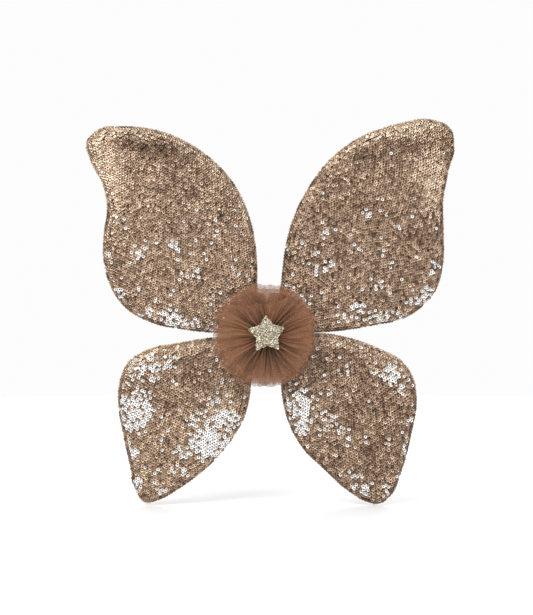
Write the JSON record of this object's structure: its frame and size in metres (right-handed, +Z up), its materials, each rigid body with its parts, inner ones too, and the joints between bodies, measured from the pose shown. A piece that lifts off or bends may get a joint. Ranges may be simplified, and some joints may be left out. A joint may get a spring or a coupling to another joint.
{
  "type": "fairy wings",
  "caption": "Padded butterfly-shaped dress-up wings covered in champagne sequins, folding at a sewn spine, with a brown tulle rosette, a glitter star and elastic arm straps.",
  "frame": {"origin": "centre of the back patch's rear face, which lies against the wearer's back", "axes": "+Z up, +Y out of the patch towards the wearer, the sequinned front faces -Y, +X to the wearer's right as seen from behind"},
  "size_m": [0.3996, 0.1216, 0.4177],
  "materials": {
    "sequin_fabric": "champagne cup sequins on net, metallic",
    "lining_fabric": "matt brown woven lining",
    "wadding": "soft white polyester wadding",
    "steel_wire": "drawn spring wire",
    "crimp_metal": "pressed sleeve",
    "brown_felt": "pressed felt",
    "brown_tulle": "fine brown net, see-through at the rim",
    "brown_thread": "twisted sewing thread",
    "gold_glitter": "champagne-gold glitter",
    "white_foam": "closed-cell foam",
    "brown_elastic": "woven ribbed elastic"
  },
  "bodies": {
    "centre": {"centre_spine": "brown_felt", "back_patch": "brown_felt", "strap_bar_tacks": "brown_thread", "rosette_base": "brown_felt", "rosette_rear_tulle": "brown_tulle", "rosette_middle_tulle": "brown_tulle", "rosette_front_tulle": "brown_tulle", "rosette_knot": "brown_thread", "star_felt_back": "brown_felt", "star_foam_core": "white_foam", "star_glitter_face": "gold_glitter"},
    "left_wing": {"upper_left_sequin_cover": "sequin_fabric", "upper_left_back_lining": "lining_fabric", "upper_left_wadding": "wadding", "lower_left_sequin_cover": "sequin_fabric", "lower_left_back_lining": "lining_fabric", "lower_left_wadding": "wadding", "left_wire_frame": "steel_wire", "left_wire_crimp": "crimp_metal"},
    "right_wing": {"upper_right_sequin_cover": "sequin_fabric", "upper_right_back_lining": "lining_fabric", "upper_right_wadding": "wadding", "lower_right_sequin_cover": "sequin_fabric", "lower_right_back_lining": "lining_fabric", "lower_right_wadding": "wadding", "right_wire_frame": "steel_wire", "right_wire_crimp": "crimp_metal"},
    "left_strap": {"left_arm_strap": "brown_elastic"},
    "right_strap": {"right_arm_strap": "brown_elastic"}
  },
  "joints": [
    {"name": "left_wing_fold", "type": "hinge", "parent": "centre", "child": "left_wing", "pos_m": [-0.013, -0.0042, 0], "axis": [0, 0, -1], "range_deg": [-6, 80], "stiffness_Nm_per_rad": 0.06, "deforming": ["left_arm_strap"]},
    {"name": "right_wing_fold", "type": "hinge", "parent": "centre", "child": "right_wing", "pos_m": [0.013, -0.0042, 0], "axis": [0, 0, 1], "range_deg": [-6, 80], "stiffness_Nm_per_rad": 0.06, "deforming": ["right_arm_strap"]},
    {"name": "left_strap_swing", "type": "hinge", "parent": "centre", "child": "left_strap", "pos_m": [-0.00535, -0.0008, 0], "axis": [0, 0, -1], "range_deg": [-32, 8], "stiffness_Nm_per_rad": 0.01},
    {"name": "right_strap_swing", "type": "hinge", "parent": "centre", "child": "right_strap", "pos_m": [0.00535, -0.0008, 0], "axis": [0, 0, 1], "range_deg": [-32, 8], "stiffness_Nm_per_rad": 0.01}
  ]
}
